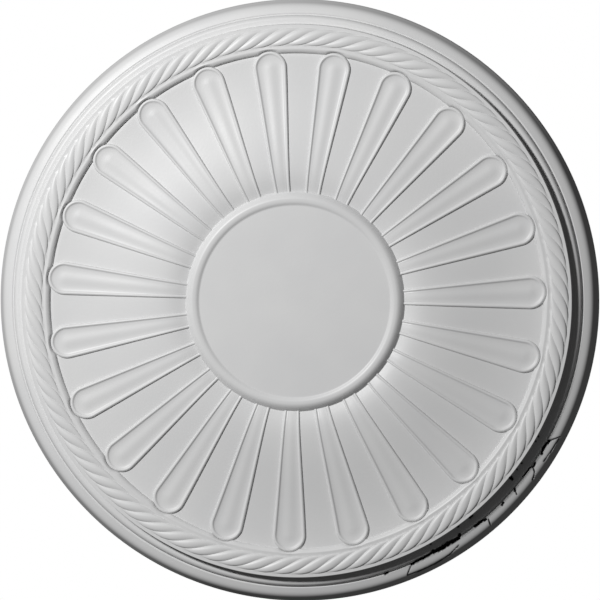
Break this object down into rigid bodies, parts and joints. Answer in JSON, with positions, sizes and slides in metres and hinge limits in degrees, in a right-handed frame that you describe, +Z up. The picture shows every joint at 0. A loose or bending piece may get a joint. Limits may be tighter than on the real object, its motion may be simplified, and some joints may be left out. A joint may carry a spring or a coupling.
{
  "type": "ceiling rose",
  "caption": "Round moulded ceiling rose with a plain disc in a bead ring, a crowned field of radiating petals, a rope border and stepped edge mouldings.",
  "frame": {"origin": "middle of the flat back, on the ceiling plane", "axes": "+Z up into the ceiling, along the rose's axis; the moulded face looks down along -Z; X and Y lie in the ceiling plane"},
  "size_m": [0.6187, 0.6188, 0.0396],
  "materials": {
    "primed_moulding": "white primer with a satin surface on rigid moulded foam"
  },
  "bodies": {
    "root": {"ceiling_rose": "primed_moulding"}
  },
  "joints": []
}
